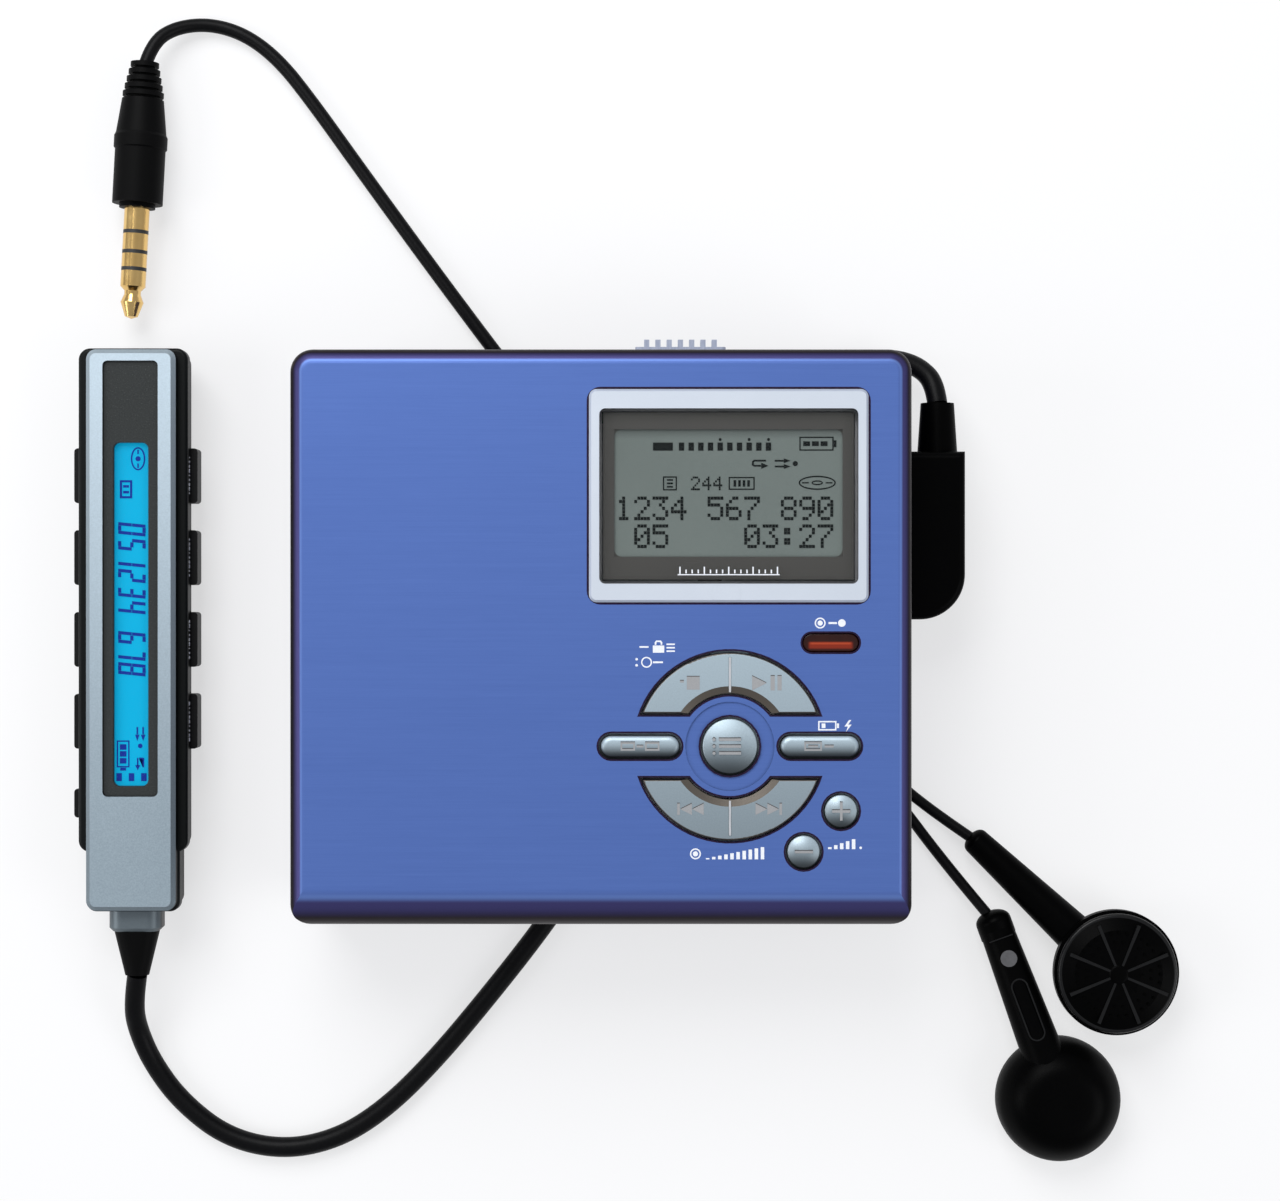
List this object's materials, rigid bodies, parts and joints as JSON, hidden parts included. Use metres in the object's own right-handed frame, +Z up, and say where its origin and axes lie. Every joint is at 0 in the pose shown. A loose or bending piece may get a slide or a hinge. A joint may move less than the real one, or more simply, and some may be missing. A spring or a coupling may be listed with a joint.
{
  "type": "portable minidisc recorder",
  "caption": "Pocket disc recorder with a hinged lid, display and keys, its wired stick remote control and earphones laid beside it.",
  "frame": {"origin": "on the table, at the middle of the box round the recorder and the remote control", "axes": "+X from the remote control to the recorder, +Y to the back of the recorder where the lid opens, +Z up"},
  "size_m": [0.1534, 0.1605, 0.0273],
  "materials": {
    "blue_lid": "brushed and anodised blue",
    "blue_case": "satin dark blue",
    "silver_trim": "satin silver",
    "key_silver": "satin silver-grey",
    "clear_window": "clear, hard coated",
    "display_glass": "grey-green liquid crystal",
    "red_key": "translucent red",
    "die_cast": "as cast",
    "sheet_steel": "bright sheet",
    "steel_pin": "ground",
    "circuit_board": "green solder resist",
    "black_plastic": "fine texture",
    "black_rubber": "matt",
    "motor_steel": "plated",
    "battery_case": "plain nickel-plated can",
    "brass_leaf": "sprung leaf",
    "remote_silver": "satin silver",
    "dark_window": "smoked, clear over the display",
    "blue_display": "lit from behind",
    "gold": "gold plated",
    "cord_jacket": "smooth matt jacket"
  },
  "bodies": {
    "case": {"hinge_pins": "steel_pin", "lower_case": "blue_case", "mid_frame": "die_cast", "deck_chassis": "sheet_steel", "spindle_motor": "motor_steel", "guide_rods": "steel_pin", "sled_motor": "motor_steel", "rubber_mounts": "black_rubber", "main_board": "circuit_board", "battery": "battery_case", "battery_contacts": "brass_leaf", "remote_socket": "black_plastic", "line_in_jack": "black_plastic", "power_jack": "black_plastic", "case_screws": "steel_pin", "remote_top_shell": "remote_silver", "remote_back_shell": "black_plastic", "remote_window": "dark_window", "remote_display": "blue_display", "remote_gland": "remote_silver", "remote_strain_relief": "black_rubber", "remote_cord": "cord_jacket", "remote_plug": "black_plastic", "earphone_cord": "cord_jacket", "left_branch_cord": "cord_jacket", "right_branch_cord": "cord_jacket", "cord_divider": "black_rubber", "earphone_plug_body": "black_rubber", "earphone_plug_contacts": "gold", "left_earbud_housing": "black_plastic", "left_earbud_grille": "black_plastic", "right_earbud_housing": "black_plastic", "right_earbud_grille": "black_plastic"},
    "lid": {"lid_panel": "blue_lid", "lid_frame": "die_cast", "display_frame": "silver_trim", "display_window": "clear_window", "display_module": "display_glass", "key_board": "circuit_board", "disc_holder": "sheet_steel"},
    "record_head": {"record_head": "black_plastic"},
    "stop_play_key": {"stop_play_key": "key_silver"},
    "skip_key": {"skip_key": "key_silver"},
    "menu_button": {"menu_button": "key_silver"},
    "group_button": {"group_button": "key_silver"},
    "display_button": {"display_button": "key_silver"},
    "volume_up_button": {"volume_up_button": "key_silver"},
    "volume_down_button": {"volume_down_button": "key_silver"},
    "record_button": {"record_button": "red_key"},
    "turntable": {"turntable": "black_plastic"},
    "optical_pickup": {"optical_pickup": "black_plastic"},
    "lead_screw": {"lead_screw": "steel_pin"},
    "battery_door": {"battery_door": "blue_case"},
    "open_slider": {"open_slider": "silver_trim", "latch_plate": "sheet_steel"},
    "remote_right_keys": {"remote_right_keys": "black_plastic"},
    "remote_left_keys": {"remote_left_keys": "black_plastic"},
    "remote_hold_slider": {"remote_hold_slider": "black_plastic"},
    "remote_clip": {"remote_clip": "remote_silver"}
  },
  "joints": [
    {"name": "lid_hinge", "type": "hinge", "parent": "case", "child": "lid", "pos_m": [0.016, -0.03415, 0.0218], "axis": [1, 0, 0], "range_deg": [0, 45]},
    {"name": "record_head_travel", "type": "slide", "parent": "lid", "child": "record_head", "axis": [1, 0, 0], "range_m": [0, 0.01501]},
    {"name": "turntable_spin", "type": "hinge", "parent": "case", "child": "turntable", "pos_m": [0.016, 0.00085, 0.011], "axis": [0, 0, 1], "continuous": true},
    {"name": "pickup_travel", "type": "slide", "parent": "case", "child": "optical_pickup", "axis": [1, 0, 0], "range_m": [0, 0.015]},
    {"name": "lead_screw_spin", "type": "hinge", "parent": "case", "child": "lead_screw", "pos_m": [0.026, -0.01155, 0.0081], "axis": [1, 0, 0], "range_deg": [0, 3601]},
    {"name": "battery_door_hinge", "type": "hinge", "parent": "case", "child": "battery_door", "pos_m": [0.0564, -0.01575, 0.0083], "axis": [0, 0, 1], "range_deg": [0, 80]},
    {"name": "open_slider_travel", "type": "slide", "parent": "case", "child": "open_slider", "axis": [-1, 0, 0], "range_m": [0, 0.0036], "stiffness_N_per_m": 250, "springref_m": -0.001},
    {"name": "remote_right_keys_press", "type": "slide", "parent": "case", "child": "remote_right_keys", "axis": [-1, 0, 0], "range_m": [0, 0.0004], "stiffness_N_per_m": 1500, "springref_m": -0.0002},
    {"name": "remote_left_keys_press", "type": "slide", "parent": "case", "child": "remote_left_keys", "axis": [1, 0, 0], "range_m": [0, 0.0004], "stiffness_N_per_m": 1500, "springref_m": -0.0002},
    {"name": "remote_hold_travel", "type": "slide", "parent": "case", "child": "remote_hold_slider", "axis": [0, -1, 0], "range_m": [0, 0.002]},
    {"name": "remote_clip_hinge", "type": "hinge", "parent": "case", "child": "remote_clip", "pos_m": [-0.04875, 0.02676, 0.00215], "axis": [1, 0, 0], "range_deg": [0, 8], "stiffness_Nm_per_rad": 0.2, "springref_deg": -17.19},
    {"name": "menu_button_press", "type": "slide", "parent": "lid", "child": "menu_button", "axis": [0, 0, -1], "range_m": [0, 0.0004], "stiffness_N_per_m": 1500, "springref_m": -0.0002},
    {"name": "group_button_press", "type": "slide", "parent": "lid", "child": "group_button", "axis": [0, 0, -1], "range_m": [0, 0.0004], "stiffness_N_per_m": 1500, "springref_m": -0.0002},
    {"name": "display_button_press", "type": "slide", "parent": "lid", "child": "display_button", "axis": [0, 0, -1], "range_m": [0, 0.0004], "stiffness_N_per_m": 1500, "springref_m": -0.0002},
    {"name": "volume_up_button_press", "type": "slide", "parent": "lid", "child": "volume_up_button", "axis": [0, 0, -1], "range_m": [0, 0.0004], "stiffness_N_per_m": 1500, "springref_m": -0.0002},
    {"name": "volume_down_button_press", "type": "slide", "parent": "lid", "child": "volume_down_button", "axis": [0, 0, -1], "range_m": [0, 0.0004], "stiffness_N_per_m": 1500, "springref_m": -0.0002},
    {"name": "record_button_press", "type": "slide", "parent": "lid", "child": "record_button", "axis": [0, 0, -1], "range_m": [0, 0.0004], "stiffness_N_per_m": 1500, "springref_m": -0.0002},
    {"name": "stop_play_key_rock", "type": "hinge", "parent": "lid", "child": "stop_play_key", "pos_m": [0.03295, -0.00573, 0.02525], "axis": [0, 1, 0], "range_deg": [-2, 2], "stiffness_Nm_per_rad": 0.03},
    {"name": "skip_key_rock", "type": "hinge", "parent": "lid", "child": "skip_key", "pos_m": [0.03295, -0.02493, 0.02525], "axis": [0, 1, 0], "range_deg": [-2, 2], "stiffness_Nm_per_rad": 0.03}
  ],
  "couplings": [
    {"joint": "lead_screw_spin", "follows": "pickup_travel", "rad_per_m": 4188.8},
    {"joint": "record_head_travel", "follows": "pickup_travel", "ratio": 1}
  ]
}
